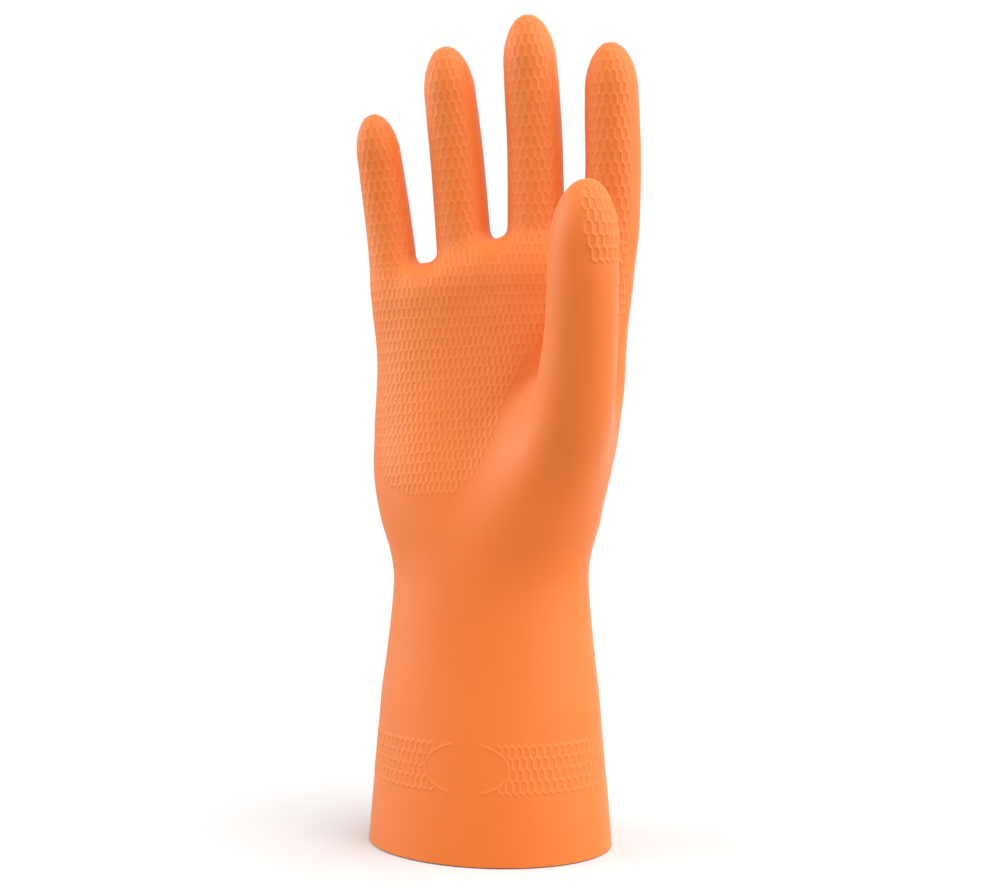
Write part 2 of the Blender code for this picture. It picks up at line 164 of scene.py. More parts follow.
class Digit:
    def __init__(self, name):
        self.name = name
        rows = curve(LINES[name], 120)
        arc = np.concatenate([[0], np.cumsum(np.linalg.norm(np.diff(rows[:, :3], axis=0), axis=1))])
        # bullet-shaped tip: the radius follows a long ellipse whose end is at the tip
        B = np.interp(arc[-1] - 17.0, arc, rows[:, 3])
        A = LONG[name] * B
        start, reach = arc[-1] - A, (A * A - B * B) / A
        body_s = np.linspace(0, start, 50, endpoint=False)
        c = reach * np.sin(np.linspace(0, math.pi / 2, 26))
        self.s = np.concatenate([body_s, start + c])
        self.C = np.stack([np.interp(self.s, arc, rows[:, k]) for k in range(3)], 1)
        nominal = np.interp(self.s, arc, rows[:, 3])
        fade = np.clip((self.s - start) / A + 0.35, 0, 0.35) / 0.35
        nominal = nominal + (B - nominal) * fade
        self.R = nominal * np.sqrt(1 - np.clip(self.s - start, 0, None) ** 2 / (A * A - B * B))
        room = 48 if name == "thumb" else 24
        self.lo = self.C.min(0) - room
        self.hi = self.C.max(0) + room
        t = np.gradient(self.C, axis=0)
        self.T = t / np.linalg.norm(t, axis=1)[:, None]
        lat = np.array([1.0, 0, 0]) - self.T * self.T[:, :1]
        self.L = lat / np.linalg.norm(lat, axis=1)[:, None]
        self.P = np.cross(self.L, self.T)
        # length measured on the skin, for laying out the grip
        self.slope = np.arcsin(np.clip(-np.gradient(self.R, self.s), -0.95, 0.95))
        ax, rad = self.s + self.R * np.sin(self.slope), self.R * np.cos(self.slope)
        self.V = self.s[0] + np.concatenate([[0], np.cumsum(np.hypot(np.diff(ax), np.diff(rad)))])
        self.rho = rad
        self.top = self.V[-1] + self.R[-1] * (math.pi / 2 - self.slope[-1])

    def at_height(self, z):
        s = np.interp(z, self.C[:, 2], self.s)
        return s

    def point(self, s):
        return np.array([np.interp(s, self.s, self.C[:, k]) for k in range(3)])

    def tangent(self, s):
        t = np.array([np.interp(s, self.s, self.T[:, k]) for k in range(3)])
        return t / np.linalg.norm(t)

    def dist(self, Q, full=False):
        """Distance to the swept spheres; the cone between two of them is exact."""
        n = len(Q)
        out = np.empty(n)
        S = np.empty(n)
        for c in range(0, n, 40000):
            q = Q[c:c + 40000]
            i = (np.sqrt(((q[:, None, :] - self.C[None]) ** 2).sum(-1)) - self.R).argmin(1)
            best = np.full(len(q), 1e9)
            bs = np.zeros(len(q))
            for j0 in (np.maximum(i - 1, 0), np.minimum(i, len(self.C) - 2)):
                A, B = self.C[j0], self.C[j0 + 1]
                ab = B - A
                L = np.linalg.norm(ab, axis=1)
                k = np.clip((self.R[j0 + 1] - self.R[j0]) / L, -0.97, 0.97)
                a0 = ((q - A) * ab).sum(1) / L
                h = np.sqrt(np.maximum(((q - A) ** 2).sum(1) - a0 * a0, 0))
                t = np.clip((a0 + h * k / np.sqrt(1 - k * k)) / L, 0, 1)
                d = np.linalg.norm(q - A - ab * t[:, None], axis=1) - (self.R[j0] * (1 - t) + self.R[j0 + 1] * t)
                m = d < best
                best[m] = d[m]
                bs[m] = (self.s[j0] + t * (self.s[j0 + 1] - self.s[j0]))[m]
            out[c:c + 40000] = best
            S[c:c + 40000] = bs
        return (out, S) if full else out

    def near(self, Q):
        out = np.full(len(Q), 40.0)
        m = ((Q > self.lo) & (Q < self.hi)).all(1)
        if m.any():
            out[m] = self.dist(Q[m])
        return out


DIG = {n: Digit(n) for n in LINES}
FINGERS = ("little", "ring", "middle", "index")


def field(P):
    f = body(P)
    fing = DIG["little"].near(P)
    for n in FINGERS[1:]:
        fing = np.minimum(fing, DIG[n].near(P))
    f = smin(f, fing, 4.6)
    return smin(f, DIG["thumb"].near(P), thumb_k(P))


def thumb_k(P):
    """The thumb leaves the palm in a tight web above and a broad mound below."""
    t = np.clip((182.0 - P[:, 2]) / 34.0, 0, 1)
    return 9.0 + 9.0 * t * t * (3 - 2 * t)


def gradient(P, f=None):
    e = 0.05
    g = np.empty_like(P)
    for k in range(3):
        d = np.zeros(3)
        d[k] = e
        g[:, k] = (field(P + d) - field(P - d)) / (2 * e)
    return g


def project(P, steps=3):
    P = P.copy()
    for _ in range(steps):
        f = field(P)
        g = gradient(P)
        P -= g * (f / np.maximum((g * g).sum(1), 1e-6))[:, None]
    return P


def surface_nets(F, org, h):
    ins = F < 0
    n = np.array(F.shape) - 1
    sl = lambda a, i, j, k: a[i:i + n[0], j:j + n[1], k:k + n[2]]
    s = sum(sl(ins, i, j, k).astype(np.int8) for i in (0, 1) for j in (0, 1) for k in (0, 1))
    act = (s > 0) & (s < 8)
    idx = np.full(tuple(n), -1, np.int64)
    idx[act] = np.arange(act.sum())
    acc = np.zeros(tuple(n) + (3,))
    cnt = np.zeros(tuple(n))
    for ax in range(3):
        o1, o2 = [k for k in range(3) if k != ax]
        for i in (0, 1):
            for j in (0, 1):
                c = [0, 0, 0]
                c[o1], c[o2] = i, j
                e = list(c)
                e[ax] = 1
                fa, fb = sl(F, *c), sl(F, *e)
                m = (fa < 0) != (fb < 0)
                t = np.where(m, fa / np.where(m, fa - fb, 1), 0)
                p = np.zeros(tuple(n) + (3,))
                for k in range(3):
                    p[..., k] = c[k]
                p[..., ax] += t
                acc += np.where(m[..., None], p, 0)
                cnt += m
    cell = np.argwhere(act)
    V = (cell + acc[act] / cnt[act][:, None]) * h + org
    quads = []
    for ax in range(3):
        o1, o2 = [(1, 2), (2, 0), (0, 1)][ax]
        a = ins
        shape = np.array(F.shape)
        lo = [slice(None)] * 3
        hi = [slice(None)] * 3
        lo[ax] = slice(0, -1)
        hi[ax] = slice(1, None)
        A, B = a[tuple(lo)], a[tuple(hi)]
        cross = np.argwhere(A != B)
        keep = (cross[:, o1] > 0) & (cross[:, o2] > 0) & (cross[:, o1] < n[o1]) & (cross[:, o2] < n[o2])
        cross = cross[keep]
        out = A[cross[:, 0], cross[:, 1], cross[:, 2]]
        d1 = np.zeros(3, int)
        d2 = np.zeros(3, int)
        d1[o1], d2[o2] = 1, 1
        c00 = idx[tuple((cross - d1 - d2).T)]
        c10 = idx[tuple((cross - d2).T)]
        c11 = idx[tuple(cross.T)]
        c01 = idx[tuple((cross - d1).T)]
        q = np.stack([c00, c10, c11, c01], 1)
        q[~out] = q[~out][:, ::-1]
        quads.append(q)
    return V, np.concatenate(quads)


# ------------------------------------------------------------ the grip pattern
RIDGE = 0.24                    # height of a ridge, mm
RIDGE_W = 0.50                  # half width of a ridge, mm


def honeycomb(u, v, pu, side, slant, keep):
    """Ridge profile 0..1 of elongated hexagons; keep(u, v) says which cells exist."""
    row = side + slant
    r = np.round(v / row)
    best = np.full(len(u), 1e9)
    cu = np.zeros(len(u))
    cv = np.zeros(len(u))
    for dr in (-1, 0, 1):
        rr = r + dr
        off = np.where(rr % 2 == 0, 0.0, 0.5) * pu
        c = np.round((u - off) / pu) * pu + off
        du, dv = np.abs(u - c), np.abs(v - rr * row)
        N = np.maximum(du / (pu / 2), (dv + (2 * slant / pu) * du) / (side / 2 + slant))
        m = N < best
        best[m], cu[m], cv[m] = N[m], c[m], (rr * row)[m]
    du, dv = u - cu, v - cv
    cosa = 1.0 / math.sqrt(1 + (2 * slant / pu) ** 2)
    d_side = pu / 2 - np.abs(du)
    d_sl = (side / 2 + slant - np.abs(dv) - (2 * slant / pu) * np.abs(du)) * cosa
    own = keep(cu, cv)
    # the nearest wall belongs to two cells, and a corner to three
    n1 = keep(cu + np.sign(du) * pu, cv)
    n2 = keep(cu + np.sign(du) * pu / 2, cv + np.sign(dv) * row)
    w1 = np.maximum(own, n1) * bell(d_side)
    w2 = np.maximum(own, n2) * bell(d_sl)
    return np.maximum(w1, w2)


def bell(d):
    t = np.clip(np.abs(d) / RIDGE_W, 0, 1)
    return (1 - t * t) ** 2


def ramp(x, a, b):
    t = np.clip((x - a) / (b - a), 0, 1)
    return t * t * (3 - 2 * t)


# centre of each finger's grip, degrees from the palm's facing direction
TURN = {"little": 6.0, "ring": -3.5, "middle": 4.0, "index": -1.0, "thumb": 56.0}
SPAN = {"little": 49.0, "ring": 49.0, "middle": 45.5, "index": 48.0, "thumb": 45.0}
PITCH = 2.36
TILT = 0.08
PALM_EDGE = [(-60, 235), (60, 235), (60, 190), (31.5, 188), (27.0, 186), (17.5, 176), (11.5, 163), (8.0, 150), (3.0, 136),
             (-6.0, 127.5), (-16.0, 126.0), (-27.0, 127.3), (-34.5, 130.5), (-40.0, 136.5), (-43.0, 146.0), (-46.0, 160.0),
             (-60, 172.0)]


def inside(poly, x, y):
    out = np.zeros(len(x), bool)
    n = len(poly)
    for i in range(n):
        x1, y1 = poly[i]
        x2, y2 = poly[(i + 1) % n]
        if y1 == y2:
            continue
        m = (y1 > y) != (y2 > y)
        out ^= m & (x < (x2 - x1) * (y - y1) / (y2 - y1) + x1)
    return out


def edge_fade(poly, x, y, w):
    """1 well inside the outline, 0 outside, fading over w at its edge."""
    best = np.full(len(x), 1e9)
    n = len(poly)
    for i in range(n):
        (x1, y1), (x2, y2) = poly[i], poly[(i + 1) % n]
        ex, ey = x2 - x1, y2 - y1
        t = np.clip(((x - x1) * ex + (y - y1) * ey) / max(ex * ex + ey * ey, 1e-9), 0, 1)
        best = np.minimum(best, np.hypot(x - x1 - t * ex, y - y1 - t * ey))
    return np.where(inside(poly, x, y), ramp(best, 0, w), 0.0)


def digit_coords(dg, P):
    d, s = dg.dist(P, True)
    C = np.stack([np.interp(s, dg.s, dg.C[:, k]) for k in range(3)], 1)
    T = np.stack([np.interp(s, dg.s, dg.T[:, k]) for k in range(3)], 1)
    L = np.stack([np.interp(s, dg.s, dg.L[:, k]) for k in range(3)], 1)
    Q = np.stack([np.interp(s, dg.s, dg.P[:, k]) for k in range(3)], 1)
    v = P - C
    a, l, p = (v * T).sum(1), (v * L).sum(1), (v * Q).sum(1)
    phi = np.degrees(np.arctan2(l, p))          # 0 faces the palm side, + towards the thumb
    r = np.hypot(l, p)
    over = np.arctan2(np.maximum(a, 0), r)
    v = np.where(s < dg.s[-1] - 1e-6, np.interp(s, dg.s, dg.V), dg.V[-1] + dg.R[-1] * (over - dg.slope[-1]))
    return s, phi, r, over, d, v


def squeeze(r, ref):
    """How the grip closes up where the finger gets thinner."""
    return (np.minimum(r, ref) / ref) ** 0.62


# the palm's grip runs straight over the palm and then on round its sides
def side_step(X, Y, a, b):
    """Distance from the middle of the palm, measured across it and then back along its side."""
    w = ramp(np.abs(X) / a, 0.76, 0.92)
    return np.sign(X) * (np.abs(X) + 0.85 * w * np.maximum(Y + 0.55 * b, 0.0))


WRAP_N, WRAP_A, WRAP_B = 2.3, 46.7, 16.0
WRAP_T = np.radians(np.linspace(-115.0, 115.0, 921))
WRAP_R = (np.abs(np.sin(WRAP_T)) ** WRAP_N + np.abs(np.cos(WRAP_T)) ** WRAP_N) ** (-1 / WRAP_N)
WRAP_X = WRAP_A * WRAP_R * np.sin(WRAP_T)
WRAP_U = np.maximum.accumulate(side_step(WRAP_X, -WRAP_B * WRAP_R * np.cos(WRAP_T), WRAP_A, WRAP_B))


def palm_round(P):
    """Distance along the skin from the middle of the palm, and the angle round it."""
    x, y, z = P.T
    cx, cy, a, b = (np.interp(z, BODY_T[:, 0], BODY_T[:, k]) for k in range(1, 5))
    return cx + side_step(x - cx, y - cy, a, b), np.arctan2((x - cx) / a, -(y - cy) / b)


def pattern(P):
    """Ridge height 0..1 at each point of the skin."""
    out = np.zeros(len(P))
    x, y, z = P.T
    pref = 9.6
    for n in FINGERS:
        dg = DIG[n]
        m = ((P > dg.lo) & (P < dg.hi)).all(1) & (z > 205)
        if not m.any():
            continue
        i = np.flatnonzero(m)
        s, phi, r, over, d, v = digit_coords(dg, P[i])
        R = 8.4 if n == "little" else pref
        u = np.radians(phi - TURN[n]) * R * squeeze(r, R)
        root = np.interp(dg.at_height({"little": 213.0, "ring": 219.5, "middle": 221.5, "index": 219.0}[n]), dg.s, dg.V)
        lim = np.radians(SPAN[n]) * R
        end = dg.top - 3.2

        def keep(cu, cv):
            edge = lim * squeeze(np.interp(cv, np.append(dg.V, dg.top), np.append(dg.rho, 0.0)), R)
            return ((np.abs(cu) < edge) & (cv > root) & (cv < end)).astype(float)
        h = honeycomb(u, v, PITCH, 2.72, 1.28, keep)
        out[i] = np.maximum(out[i], np.where(np.abs(d) < 1.2, h, 0))
    # palm
    i = np.flatnonzero((z > 118) & (z < 224) & (y < 8))
    xx, zz = x[i], z[i]
    around, turn = palm_round(P[i])
    lean = ramp(205 - zz, 0, 60) * 0.12
    u = around - lean * (zz - 205)
    v = zz - 205 - TILT * ramp(205 - zz, 0, 55) * (xx - 4)

    def keep(cu, cv):
        vz = cv + 205
        for _ in range(4):
            w = ramp(205 - vz, 0, 60) * 0.12
            arc = cu + w * (vz - 205)
            mid = np.interp(vz, BODY_T[:, 0], BODY_T[:, 1])
            tt = np.interp(arc - mid, WRAP_U, WRAP_T)
            vx = mid + np.interp(tt, WRAP_T, WRAP_X)
            vz = cv + 205 + TILT * ramp(205 - vz, 0, 55) * (vx - 4)
        ok = (tt > math.radians(-84.0)) & (tt < np.radians(np.interp(vz, (196.0, 209.0, 219.0), (84.0, 80.0, 66.0))))
        # fingers take over above their roots, and the webs between them stay smooth
        for n in FINGERS:
            top = {"little": 213.0, "ring": 219.5, "middle": 221.5, "index": 219.0}[n] - 1.6
            cx = {"little": -37.8, "ring": -9.6, "middle": 17.5, "index": 45.4}[n]
            ok &= ~((np.abs(vx - cx) < 8.6) & (vz > top))
        for cx, top, w, dep in ((-23.6, 212.9, 6.4, 9.0), (4.0, 220.8, 6.6, 9.5), (31.4, 220.0, 6.6, 9.5)):
            ok &= ~((np.abs(vx - cx) / w) ** 2 + ((top - vz) / dep).clip(0, 9) ** 2 < 1)
            ok &= ~((np.abs(vx - cx) < w) & (vz > top))
        return ok.astype(float)
    h = honeycomb(u, v, 2.12, 2.5, 1.15, keep)
    side = ramp(np.radians(92.0) - np.abs(turn), 0.0, 0.05)
    out[i] = np.maximum(out[i], h * side * edge_fade(PALM_EDGE, xx, zz, 1.6))
    return out


def thumb_pattern(P):
    dg = DIG["thumb"]
    s, phi, r, over, d, v = digit_coords(dg, P)
    R = 11.6
    u = np.radians(phi - TURN["thumb"]) * R * squeeze(r, R)
    foot = np.interp(dg.at_height(206.0), dg.s, dg.V)
    lim = np.radians(SPAN["thumb"]) * R
    end = dg.top - 2.0

    def keep(cu, cv):
        edge = lim * squeeze(np.interp(cv, np.append(dg.V, dg.top), np.append(dg.rho, 0.0)), R)
        edge = edge * np.sqrt(np.clip(1 - (((foot + 14.0 - cv) / 14.0).clip(0, 1)) ** 2, 0, 1))
        return ((np.abs(cu) < edge) & (cv > foot) & (cv < end)).astype(float)
    return 1.5 * honeycomb(u, v, 2.55, 2.95, 1.05, keep)


BAND_Z0, BAND_Z1 = 25.5, 41.6
BAND_MID = 32.9


def cuff_pattern(P):
    x, y, z = P.T
    ang = np.arctan2(x, -y)
    R = 39.0
    u = ang * R
    v = z - BAND_MID
    lim = math.radians(79.5) * R
    ou, ov, mid = 18.2, 8.8, -0.2

    def keep(cu, cv):
        return ((np.abs(cu) < lim) & (np.abs(cv - 1.95) < 7.0) & (((cu - mid) / (ou + 0.4)) ** 2 + ((cv - 1.95) / (ov - 0.2)) ** 2 > 1)).astype(float)
    h = honeycomb(u, v + 1.95, 2.74, 2.75, 1.15, keep) * ramp(lim - np.abs(u), 0.0, 1.5)
    # plain oval plate in the middle of the band: a thin raised line, open at top and bottom
    rr = np.sqrt(((u - mid) / ou) ** 2 + (v / ov) ** 2)
    dist = (rr - 1) / np.maximum(np.sqrt(((u - mid) / ou ** 2) ** 2 + (v / ov ** 2) ** 2) / np.maximum(rr, 1e-6), 1e-6)
    line = bell(dist * 0.95) * ramp(np.abs(u - mid), 5.6, 7.0)
    return np.maximum(h * ramp(dist, 0.2, 0.9), line)


def relief(P):
    out = np.zeros(len(P))
    z = P[:, 2]
    i = np.flatnonzero((z > 110))
    dt, st = DIG["thumb"].near(P[i]), None
    on_thumb = dt < 1.0
    k = i[~on_thumb]
    if len(k):
        out[k] = pattern(P[k])
    k = i[on_thumb & (P[i, 2] > 190)]
    if len(k):
        out[k] = thumb_pattern(P[k])
    k = np.flatnonzero((z > 20) & (z < 47))
    if len(k):
        out[k] = cuff_pattern(P[k])
    return out


def fine_area(C):
    """Face centres that need the fine step."""
    x, y, z = C.T
    out = np.zeros(len(C), bool)
    ang = np.degrees(np.arctan2(x, -y))
    out |= (z > 22.5) & (z < 44.5) & (np.abs(ang) < 90)
    dthumb, sthumb = DIG["thumb"].dist(C, True)
    thumb = dthumb < 1.0
    px = np.array([p[0] for p in PALM_EDGE])
    grow = inside([(a + (2.6 if a > -30 and a < 50 else 0), b - (2.6 if b < 200 else 0)) for a, b in PALM_EDGE], x, z)
    out |= ~thumb & grow & (y < 7.0) & (z > 118) & (z < 224)
    for n in FINGERS:
        dg = DIG[n]
        m = np.flatnonzero(((C > dg.lo) & (C < dg.hi)).all(1) & (z > 207))
        s, phi, r, over, d, v = digit_coords(dg, C[m])
        ok = (np.abs(phi - TURN[n]) < SPAN[n] + 12) & (np.degrees(over) < 76) & (np.abs(d) < 1.5)
        out[m[ok]] = True
    m = np.flatnonzero(thumb & (z > 196))
    s, phi, r, over, d, v = digit_coords(DIG["thumb"], C[m])
    ok = (np.abs(phi - TURN["thumb"]) < SPAN["thumb"] + 12) & (np.degrees(over) < 80)
    out[m[ok]] = True
    return out


# ------------------------------------------------------------------ the mesh
lo = np.array([-56.0, -62.0, -9.0])
hi = np.array([64.0, 42.0, 312.0])
shape = np.ceil((hi - lo) / H).astype(int) + 1
axes = [lo[k] + H * np.arange(shape[k]) for k in range(3)]
G = np.stack(np.meshgrid(*axes, indexing="ij"), -1).reshape(-1, 3)
F = body(G)
fing = np.full(len(G), 40.0)
for n in FINGERS:
    fing = np.minimum(fing, DIG[n].near(G))
F = smin(smin(F, fing, 4.6), DIG["thumb"].near(G), thumb_k(G)).reshape(shape)
V, Q = surface_nets(F, lo, H)
V = project(V, 3)
keep_q = (Q >= 0).all(1)
Q = Q[keep_q]

bm = bmesh.new()
bverts = [bm.verts.new(v) for v in V]
bm.verts.index_update()
for q in Q:
    if len(set(q)) == 4:
        try:
            bm.faces.new([bverts[i] for i in q])
        except ValueError:
            pass
bmesh.ops.delete(bm, geom=[v for v in bm.verts if not v.link_faces], context="VERTS")


def cloud(b):
    return np.array([v.co for v in b.verts], float)


def put(b, co):
    for v, c in zip(b.verts, co):
        v.co = c


# even the net out, staying on the skin
for _ in range(3):
    bmesh.ops.smooth_vert(bm, verts=bm.verts, factor=0.5, use_axis_x=True, use_axis_y=True, use_axis_z=True)
    put(bm, project(cloud(bm), 1))
put(bm, project(cloud(bm), 1))
# plain cut at the rim
bmesh.ops.bisect_plane(bm, geom=bm.verts[:] + bm.edges[:] + bm.faces[:], dist=0.25, plane_co=(0, 0, 0), plane_no=(0, 0, 1),
                       clear_inner=True)
for v in bm.verts:
    if v.co.z < 0.3:
        v.co.z = 0.0
inner = bm.copy()

bm.faces.ensure_lookup_table()
cen = np.array([f.calc_center_median() for f in bm.faces])
fine = fine_area(cen)
edges = set()
for f, k in zip(bm.faces, fine):
    if k:
        edges.update(f.edges)
bmesh.ops.subdivide_edges(bm, edges=list(edges), cuts=CUTS, use_grid_fill=True)
co = cloud(bm)
rim = co[:, 2] < 1e-3
co = project(co, 2)
co[rim, 2] = 0.0
g = gradient(co)
nrm = g / np.linalg.norm(g, axis=1)[:, None]
rel = relief(co)
# the gripped palm and the ridges are painted a little paler than the plain film: on the forward-facing palm this is
# painted light, on the ridges it is a painted highlight together with wear
wear_and_painted_light = 0.40 * rel + 0.14 * edge_fade(PALM_EDGE, co[:, 0], co[:, 2], 9.0) * ramp(-nrm[:, 1], 0.1, 0.6) * ramp(6.0 + co[:, 1] * -1.0, 0.0, 6.0)
# on the thumb only the ridges get this paleness, a painted highlight together with wear
wear_and_painted_light = np.where(DIG["thumb"].near(co) < 1.0, 0.3 * rel, wear_and_painted_light)
rel[rim] = 0
put(bm, co + nrm * (rel * RIDGE)[:, None])

# inner face of the film, and the cut rim that joins the two
ci = cloud(inner)
rim_i = ci[:, 2] < 1e-3
gi = gradient(ci)
ni = gi / np.linalg.norm(gi, axis=1)[:, None]
ci2 = ci - ni * WALL
ci2[rim_i, 2] = 0.0
put(inner, ci2)
for f in inner.faces:
    f.normal_flip()

print("outer faces", len(bm.faces), "inner faces", len(inner.faces))


def to_arrays(b):
    b.verts.index_update()
    co = cloud(b)
    fs = [[v.index for v in f.verts] for f in b.faces]
    return co, fs


bm.normal_update()
inner.normal_update()
n_out = np.array([v.normal for v in bm.verts])
n_in = np.array([v.normal for v in inner.verts])
co_o, f_o = to_arrays(bm)
co_i, f_i = to_arrays(inner)
base_o = co                                    # undisplaced, for the split
base_i = ci


def owner(C):
    """Which piece a point of the skin belongs to."""
    z = C[:, 2]
    out = np.full(len(C), "palm_skin", dtype=object)
    out[z < 71.0] = "cuff_skin"
    out[(z >= 71.0) & (z < 121.0)] = "wrist_skin"
    names = list(LINES)
    ds, ss = [], []
    for n in names:
        d = np.full(len(C), 99.0)
        s = np.zeros(len(C))
        m = ((C > DIG[n].lo) & (C < DIG[n].hi)).all(1)
        if m.any():
            d[m], s[m] = DIG[n].dist(C[m], True)
        ds.append(d)
        ss.append(s)
    ds, ss = np.array(ds), np.array(ss)
    near = ds.argmin(0)
    for k, n in enumerate(names):
        dg = DIG[n]
        hs = [dg.at_height(h) for h in HINGES[n]]
        half = HALF[n]
        m = (near == k) & (z > 150)
        s = ss[k]
        first = m & (s > hs[0] - half[0] - SPARE - (3.0 if n == "thumb" else 1.5))
        if n == "thumb":
            a = 0.5 * (hs[0] + half[0] + hs[1] - half[1])
            out[first & (s <= a)] = n + "_root_skin"
            out[m & (s > a)] = n + "_tip_skin"
        else:
            a = 0.5 * (hs[0] + half[0] + hs[1] - half[1])
            b = 0.5 * (hs[1] + half[1] + hs[2] - half[2])
            out[first & (s <= a)] = n + "_root_skin"
            out[m & (s > a) & (s <= b)] = n + "_middle_skin"
            out[m & (s > b)] = n + "_tip_skin"
    return out


def centres(co, fs):
    return np.array([co[f].mean(0) for f in fs])


own_o = owner(centres(base_o, f_o))
own_i = owner(centres(base_i, f_i))

# ------------------------------------------------------------------ materials


def rubber(name, base, deep, light, rough):
    mat = bpy.data.materials.new(name)
    mat.use_nodes = True
    nt = mat.node_tree
    bsdf = nt.nodes["Principled BSDF"]
    bsdf.inputs["Roughness"].default_value = rough
    bsdf.inputs["IOR"].default_value = 1.45
    bsdf.inputs["Specular IOR Level"].default_value = 0.58
    bsdf.inputs["Subsurface Weight"].default_value = 0.15
    bsdf.inputs["Sheen Weight"].default_value = 0.35
    bsdf.inputs["Sheen Roughness"].default_value = 0.45
    bsdf.inputs["Sheen Tint"].default_value = (1.0, 0.86, 0.76, 1.0)
    bsdf.inputs["Subsurface Radius"].default_value = (1.0, 0.30, 0.10)
    bsdf.inputs["Subsurface Scale"].default_value = 0.003
    tc = nt.nodes.new("ShaderNodeTexCoord")
    blot = nt.nodes.new("ShaderNodeTexNoise")
    blot.inputs["Scale"].default_value = 26.0
    blot.inputs["Detail"].default_value = 3.0
    nt.links.new(tc.outputs["Object"], blot.inputs["Vector"])
    mix = nt.nodes.new("ShaderNodeMix")
    mix.data_type = "RGBA"
    mix.inputs["A"].default_value = (*base, 1)
    mix.inputs["B"].default_value = (*deep, 1)
    rng = nt.nodes.new("ShaderNodeMapRange")
    rng.inputs["From Min"].default_value = 0.35
    rng.inputs["From Max"].default_value = 0.7
    nt.links.new(blot.outputs["Fac"], rng.inputs["Value"])
    nt.links.new(rng.outputs["Result"], mix.inputs["Factor"])
    # painted light and wear: the grip attribute mixes the colour toward the paler one, a painted highlight on the
    # ridges and painted light on the forward-facing palm
    wear_and_painted_highlight = nt.nodes.new("ShaderNodeAttribute")
    wear_and_painted_highlight.attribute_name = "grip"
    tint = nt.nodes.new("ShaderNodeMix")
    tint.data_type = "RGBA"
    tint.inputs["B"].default_value = (*light, 1)
    nt.links.new(wear_and_painted_highlight.outputs["Fac"], tint.inputs["Factor"])
    nt.links.new(mix.outputs["Result"], tint.inputs["A"])
    nt.links.new(tint.outputs["Result"], bsdf.inputs["Base Color"])
    peel = nt.nodes.new("ShaderNodeTexNoise")
    peel.inputs["Scale"].default_value = 900.0
    peel.inputs["Detail"].default_value = 2.0
    nt.links.new(tc.outputs["Object"], peel.inputs["Vector"])
    bump = nt.nodes.new("ShaderNodeBump")
    bump.inputs["Strength"].default_value = 0.10
    bump.inputs["Distance"].default_value = 0.0002
    nt.links.new(peel.outputs["Fac"], bump.inputs["Height"])
    nt.links.new(bump.outputs["Normal"], bsdf.inputs["Normal"])
    return mat


OUT = rubber("rubber_orange", (0.855, 0.184, 0.016), (0.840, 0.172, 0.012), (0.885, 0.270, 0.056), 0.52)
IN = rubber("rubber_inside", (0.880, 0.290, 0.100), (0.860, 0.265, 0.085), (0.900, 0.330, 0.120), 0.75)

PIECES = {
    "cuff_skin": ["cuff"],
    "wrist_skin": ["wrist_band", "cuff", "palm"],
    "palm_skin": ["palm"],
    "thumb_root_skin": ["thumb_root_band", "thumb_near"],
    "thumb_tip_skin": ["thumb_tip_band", "thumb_near", "thumb_far"],
}
for n in FINGERS:
    PIECES[n + "_root_skin"] = [n + "_root_band", n + "_near"]
    PIECES[n + "_middle_skin"] = [n + "_middle_band", n + "_near", n + "_mid"]
    PIECES[n + "_tip_skin"] = [n + "_tip_band", n + "_mid", n + "_far"]
SH = np.array([SX, SY, 0.0])
objs = {}
for name in PIECES:
    verts, faces, norms, mats, wear_and_painted_highlight = [], [], [], [], []
    index = {}
    for layer, (cc, ff, nn, own) in enumerate(((co_o, f_o, n_out, own_o), (co_i, f_i, n_in, own_i))):
        for fi in np.flatnonzero(own == name):
            poly = []
            for v in ff[fi]:
                key = (layer, v)
                if key not in index:
                    index[key] = len(verts)
                    verts.append((cc[v] + SH) * 0.001)
                    norms.append(nn[v])
                    wear_and_painted_highlight.append(wear_and_painted_light[v] if layer == 0 else 0.0)
                poly.append(index[key])
            faces.append(poly)
            mats.append(layer)
    mesh = bpy.data.meshes.new(name)
    mesh.from_pydata(verts, [], faces)
    mesh.materials.append(OUT)
    mesh.materials.append(IN)
    mesh.polygons.foreach_set("material_index", mats)
    mesh.polygons.foreach_set("use_smooth", [True] * len(faces))
    mesh.update()
    # the grip attribute holds the painted light and wear paleness of the outer skin; the inside gets none
    mesh.attributes.new("grip", "FLOAT", "POINT").data.foreach_set("value", wear_and_painted_highlight)
    mesh.normals_split_custom_set_from_vertices(norms)
    obj = bpy.data.objects.new(name, mesh)
    bpy.context.scene.collection.objects.link(obj)
    objs[name] = obj
    print(name, len(faces))

# rim: a ring from the outer skin to the inner one


def ring_of(b, co):
    pts = [i for i, c in enumerate(co) if abs(c[2]) < 1e-4]
    return sorted(pts, key=lambda i: math.atan2(co[i][1], co[i][0]))


ro, ri = ring_of(bm, co_o), ring_of(inner, co_i)
N = 180
angs = np.linspace(-math.pi, math.pi, N, endpoint=False)


def at(ring, co, a):
    A = np.array([math.atan2(co[i][1], co[i][0]) for i in ring])
    R = np.array([math.hypot(co[i][0], co[i][1]) for i in ring])
    return np.interp(a, np.concatenate([A - 2 * math.pi, A, A + 2 * math.pi]), np.tile(R, 3))


Ro, Ri = at(ro, co_o, angs), at(ri, co_i, angs)
verts, faces = [], []
for t, dz in ((0.0, 0.0), (0.0, -0.0), (1.0, 0.0)):
    for a, p, q in zip(angs, Ro, Ri):
        r = p + (q - p) * t
        verts.append(((r * math.cos(a) + SX) * 0.001, (r * math.sin(a) + SY) * 0.001, dz * 0.001))
verts = verts[:N] + verts[2 * N:]
for k in range(N):
    q = (k + 1) % N
    faces.append((k, N + k, N + q, q))
mesh = bpy.data.meshes.new("cuff_rim")
mesh.from_pydata(verts, [], faces)
mesh.materials.append(OUT)
rimo = bpy.data.objects.new("cuff_rim", mesh)
bpy.context.scene.collection.objects.link(rimo)
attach(rimo, "cuff")


def row(p):
    return tuple((np.array(p) + SH) * 0.001)


